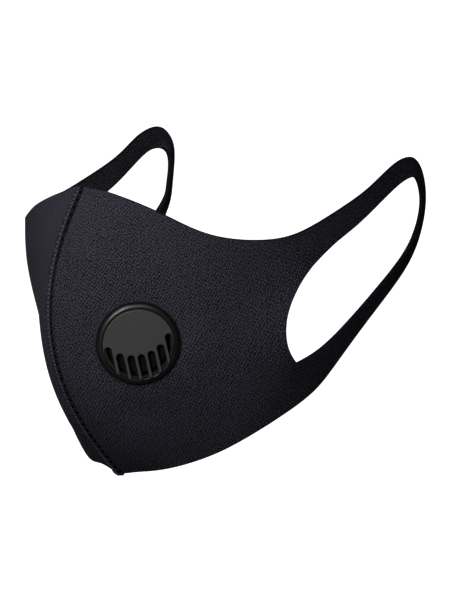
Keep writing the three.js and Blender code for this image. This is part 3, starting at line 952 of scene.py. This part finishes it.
def cloth_material():
    """Rows of loops as height and tone over the flat pattern, u across it and v up it."""
    material, tree = blank_material("jersey_faced_neoprene")
    calc = math_in(tree)

    def noise(width, scale, detail, roughness=0.5):
        """Noise about zero, that many cells to the millimetre and at most width across."""
        cells = add(tree, "ShaderNodeTexNoise", {"Vector": in_mm, "Scale": scale,
                                                 "Detail": detail, "Roughness": roughness})
        return calc("MULTIPLY_ADD", cells, width, -width / 2)

    def waves(phase, period):
        return calc("SINE", calc("MULTIPLY", phase, 2 * math.pi / period))

    flat = add(tree, "ShaderNodeUVMap", uv_map="flat_cut")
    in_mm = add(tree, "ShaderNodeVectorMath", {0: flat, "Scale": 1 / MM}, operation="SCALE")
    across_up = add(tree, "ShaderNodeSeparateXYZ", {0: in_mm})
    u, v = across_up.outputs[0], across_up.outputs[1]
    sway = calc("ADD", noise(SWAY, 0.14, 2.0), noise(SWAY, 0.7, 1.0))

    # rows on the face climb away from the seam, at about 40 degrees by the nose and about
    # 60 by the chin, and fainter, wider rows cross them
    bend = calc("MULTIPLY", calc("POWER", v, 2.0), FACE_BEND)
    face_phase = calc("ADD", calc("ADD", calc("MULTIPLY_ADD", v, FACE_LEAN, u), bend), sway)
    face_rows = waves(face_phase, FACE_PERIOD)
    cross_rows = waves(calc("ADD", calc("MULTIPLY_ADD", v, CROSS_LEAN, u), sway), CROSS_PERIOD)
    # rows on the loop run along it
    loop_phase = calc("ADD", calc("MULTIPLY_ADD", u, LOOP_LEAN, v), calc("MULTIPLY", sway, 0.3))
    loop_rows = waves(loop_phase, LOOP_PERIOD)
    on_loop = add(tree, "ShaderNodeMapRange",
                  {"Value": u, "From Min": LOOP_BEGINS, "From Max": LOOP_IN_FULL},
                  interpolation_type="SMOOTHSTEP")
    rows = add(tree, "ShaderNodeMix", {"Factor": on_loop, "A": face_rows, "B": loop_rows})
    cross = calc("MULTIPLY", cross_rows, calc("SUBTRACT", 1.0, on_loop))

    fuzz = noise(FUZZ, 2.3, 2.0, 0.6)
    height = calc("ADD", calc("MULTIPLY", rows, ROWS_HIGH), calc("MULTIPLY", cross, CROSS_HIGH))
    height = calc("ADD", height, calc("MULTIPLY", fuzz, FUZZ_HIGH))
    patches = noise(PATCHES, 0.035, 3.0, 0.55)
    tone = calc("MULTIPLY_ADD", height, TONE_GAIN, TONE_BASE)
    tone = calc("ADD", tone, patches, use_clamp=True)
    colour = add(tree, "ShaderNodeMix",
                 {"Factor": tone, "A": linear(KNIT_DARK), "B": linear(KNIT_LIGHT)},
                 data_type="RGBA")
    bump = add(tree, "ShaderNodeBump", {"Strength": 0.55, "Distance": 0.16 * MM, "Height": height})
    shader = add(tree, "ShaderNodeBsdfPrincipled",
                 {"Base Color": colour.outputs[2], "Roughness": 0.82, "IOR": 1.5,
                  "Specular IOR Level": 0.05, "Sheen Weight": 0.02, "Sheen Roughness": 0.5,
                  "Sheen Tint": linear("#cfc8dc"), "Normal": bump})
    add(tree, "ShaderNodeOutputMaterial", {0: shader})
    return material

# %% [markdown]
# The cut edge shows the foam itself between the two knit faces: black, fine-celled and
# without the jersey's sheen. The threads are textured polyester: a near black cord, dark
# rungs over it and a greyer chain along the crest. The flap is a dark silicone, and little
# of it shows behind the slots.

# %% The cut edge, the thread and the flap
DULL, FAINT = {"Specular IOR Level": 0.05}, {"Specular IOR Level": 0.1}


def simple_material(name, colour, roughness, grain=0.0, scale=1.0, **more):
    """A finish with a grain: how far its colour varies, and its cells per millimetre."""
    material, tree = blank_material(name)
    place = add(tree, "ShaderNodeTexCoord").outputs["Object"]
    noise = add(tree, "ShaderNodeTexNoise", {"Vector": place, "Scale": scale / MM, "Detail": 2.0})
    dark = tuple(c * (1 - grain) for c in linear(colour)[:3]) + (1,)
    light = tuple(min(1, c * (1 + grain)) for c in linear(colour)[:3]) + (1,)
    mixed = add(tree, "ShaderNodeMix", {"Factor": noise, "A": dark, "B": light},
                data_type="RGBA")
    bump = add(tree, "ShaderNodeBump", {"Strength": 0.4, "Distance": 0.05 * MM,
                                        "Height": noise})
    shader = add(tree, "ShaderNodeBsdfPrincipled", {"Base Color": mixed.outputs[2],
                                                    "Roughness": roughness, "Normal": bump, **more})
    add(tree, "ShaderNodeOutputMaterial", {0: shader})
    return material


knit = cloth_material()
cut_foam = simple_material("cut_chloroprene_foam", "#141217", 0.9, 0.5, 3.0, **DULL)
simple_material("polyester_looper_thread", "#1c1b23", 0.9, 0.5, 3.0, **DULL)
simple_material("polyester_needle_thread", "#46444f", 0.9, 0.5, 3.0, **DULL)
cord_yarn = simple_material("polyester_seam_cord", "#050506", 0.9, 0.6, 3.0, **FAINT)
silicone = simple_material("silicone_rubber", "#050505", 0.7, 0.1, 1.0, **FAINT)

# %% [markdown]
# **Moulded plastic.** The valve is black ABS. Its disc and its hidden half have a fine
# satin texture, which scatters the light broadly, so that the disc reads grey on the flat.
# The ring is smoother and darker, with a light line along its shoulder.

# %% The valve's plastic
satin_plastic = simple_material("satin_abs_plastic", "#2d2d2c", 0.5, 0.2, 4.0)
gloss_plastic = simple_material("polished_abs_plastic", "#050505", 0.38, 0.1, 2.0)

for obj in (left_panel_cloth, right_panel_cloth):
    obj.data.materials.append(knit)
    obj.data.materials.append(cut_foam)
seam_cord.data.materials.append(cord_yarn)
valve_cover.data.materials.append(gloss_plastic)
valve_cover.data.materials.append(satin_plastic)
valve_back.data.materials.append(satin_plastic)
valve_membrane.data.materials.append(silicone)

# %% [markdown]
# ## Stage and light
#
# The mask is seen against plain white. Soft spots share the work of a studio's large light.
# Most of it comes from in front and a little above, so the cloth is brightest on the nose
# and fades to black under the jaw.

# %% The stage
AWAY, ASIDE = -direction(VIEW_AZIMUTH), direction(VIEW_AZIMUTH + 90)
FLOOR, FLOOR_NEAR, FLOOR_FAR = -0.5, -1.8, 2.0
CURVE, CURVE_STEPS, WALL_TOP, HALF_WIDTH = 0.5, 12, 2.2, 2.2
# the paper's painted glow: where the glowing patch lies, and how bright it glows
PATCH_BEYOND, PATCH_WITHIN, PATCH_GLOW = (1.1, 1.5), (0.5, 0.3), 1.05
LAMP_DISTANCE, LAMP_RADIUS = 1.2, 0.12


def backdrop():
    """A floor well below the mask that curves up into a wall behind it, in metres."""
    path = [(FLOOR_NEAR, FLOOR), (FLOOR_FAR, FLOOR)]
    path += [(FLOOR_FAR + CURVE * math.sin(a), FLOOR + CURVE - CURVE * math.cos(a))
             for a in (math.pi / 2 * k / CURVE_STEPS for k in range(1, CURVE_STEPS + 1))]
    path += [(FLOOR_FAR + CURVE, WALL_TOP)]
    points, faces = [], []
    for reach, height in path:
        for across in (-HALF_WIDTH, HALF_WIDTH):
            points.append(AWAY * reach + ASIDE * across + Vector((0, 0, height)))
    for i in range(len(path) - 1):
        faces.append((2 * i, 2 * i + 1, 2 * i + 3, 2 * i + 2))
    return mesh_object("backdrop", points, faces)


def soft_spot(name, azimuth, lift, spread, aim, watts):
    """A soft round light, whose pool fades out from the point that it is aimed at."""
    data = bpy.data.lights.new(name, "SPOT")
    data.energy, data.spot_size, data.spot_blend = watts, math.radians(spread), 1.0
    data.shadow_soft_size = LAMP_RADIUS
    lamp = new_object(name, data)
    look_from(lamp, aim, azimuth, lift, LAMP_DISTANCE)
    return lamp


def paper_material():
    """Pale paper, with a patch behind the mask that glows plain white: painted light, not lit by the
    lamps.
    """
    material, tree = blank_material("pale_paper_with_glow_patch")
    calc = math_in(tree)
    place = add(tree, "ShaderNodeTexCoord").outputs["Object"]

    def fade(axis, start, end):
        """0 at start and 1 at end, in metres from the middle along an axis."""
        way = add(tree, "ShaderNodeVectorMath", {0: place, 1: axis}, operation="DOT_PRODUCT")
        off = calc("ABSOLUTE", way.outputs[1])
        return add(tree, "ShaderNodeMapRange", {"Value": off, "From Min": start, "From Max": end},
                   interpolation_type="SMOOTHSTEP")

    # painted light: the paper glows by emission in a patch behind the mask, which fades out at its
    # edges
    glow_patch = calc("MULTIPLY", fade(AWAY, *PATCH_BEYOND), fade(ASIDE, *PATCH_WITHIN))
    shader = add(tree, "ShaderNodeBsdfPrincipled",
                 {"Base Color": linear("#e8e8e8"), "Roughness": 0.9, "Emission Color": (1, 1, 1, 1),
                  "Emission Strength": calc("MULTIPLY", glow_patch, PATCH_GLOW)})
    add(tree, "ShaderNodeOutputMaterial", {0: shader})
    return material


stage_back = backdrop()
stage_back.data.materials.append(paper_material())

# %% The lights
LIGHTS = [
    # name       azimuth lift spread aim at (mm)    watts
    ("key",      24,     21,  11,    (5, 0, -13),   120),
    ("upper",    14,     46,  9,     (18, 5, -22),  42),
    ("side",     60,     40,  11,    (15, 5, -20),  16),
    ("low_left", -38,    -20, 2.4,   (27, 3, -62),  26),
]
lights = [soft_spot(*row) for row in LIGHTS]
world = bpy.data.worlds.new("studio")
world.use_nodes = True
world.node_tree.nodes["Background"].inputs["Color"].default_value = (0.5, 0.5, 0.52, 1)
world.node_tree.nodes["Background"].inputs["Strength"].default_value = 0.06
bpy.context.scene.world = world
bpy.context.scene.view_settings.view_transform = "Standard"
bpy.context.scene.view_settings.look = "None"

# %% [markdown]
# ## The pieces and the frame
#
# Each visual piece hides the CAD node it stands for, if any, and moves with a body. A worn
# mask has no joints, so everything rides on the root.

# %% Tie the pieces to the frame
ties = {
    left_panel_cloth: ("left_panel", "neoprene_cloth"),
    right_panel_cloth: ("right_panel", "neoprene_cloth"),
    seam_cord: ("centre_seam", "seam_thread"),
    seam_stitches: (None, "seam_thread"),
    valve_cover: ("valve_cap", "valve_plastic"),
    valve_back: ("valve_base", "valve_plastic"),
    valve_membrane: ("valve_flap", "valve_silicone"),
}
for obj, (node, finish) in ties.items():
    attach(obj, "root")
    if node:
        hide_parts(node)
